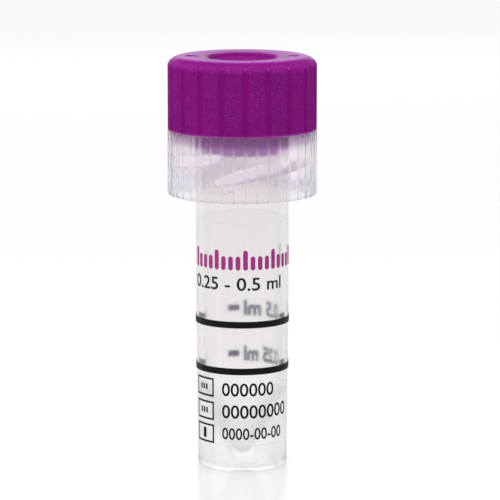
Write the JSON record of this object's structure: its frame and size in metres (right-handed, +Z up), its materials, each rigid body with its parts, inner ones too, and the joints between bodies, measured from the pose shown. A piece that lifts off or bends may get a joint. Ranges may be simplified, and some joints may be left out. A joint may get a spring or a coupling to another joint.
{
  "type": "blood collection tube",
  "caption": "Small standing sample tube with a conical inner bottom, fill lines on a clear label, and a fluted quick-turn cap with a rubber stopper.",
  "frame": {"origin": "middle of the ring that the tube stands on", "axes": "+Z up along the tube's axis, -Y to the front of the label"},
  "size_m": [0.0156, 0.0156, 0.0434],
  "materials": {
    "tube_plastic": "milky translucent moulded polypropylene",
    "label_film": "clear glossy film",
    "black_ink": "printed black ink",
    "shell_plastic": "fine-textured purple moulded plastic",
    "clear_plastic": "clear moulded plastic",
    "stopper_rubber": "smooth purple rubber"
  },
  "bodies": {
    "tube": {"tube": "tube_plastic", "label_film": "label_film", "fill_line_upper": "black_ink", "fill_line_lower": "black_ink"},
    "stopper": {"stopper": "stopper_rubber"},
    "cap": {"cap_shell": "shell_plastic", "cap_skirt": "clear_plastic"}
  },
  "joints": [
    {"name": "cap_lift", "type": "slide", "parent": "tube", "child": "stopper", "axis": [0, 0, 1], "range_m": [0, 0.0023]},
    {"name": "cap_twist", "type": "hinge", "parent": "stopper", "child": "cap", "pos_m": [0, 0, 0.0357], "axis": [0, 0, 1], "range_deg": [0, 120]}
  ],
  "couplings": [
    {"joint": "cap_twist", "follows": "cap_lift", "rad_per_m": 910.6}
  ]
}
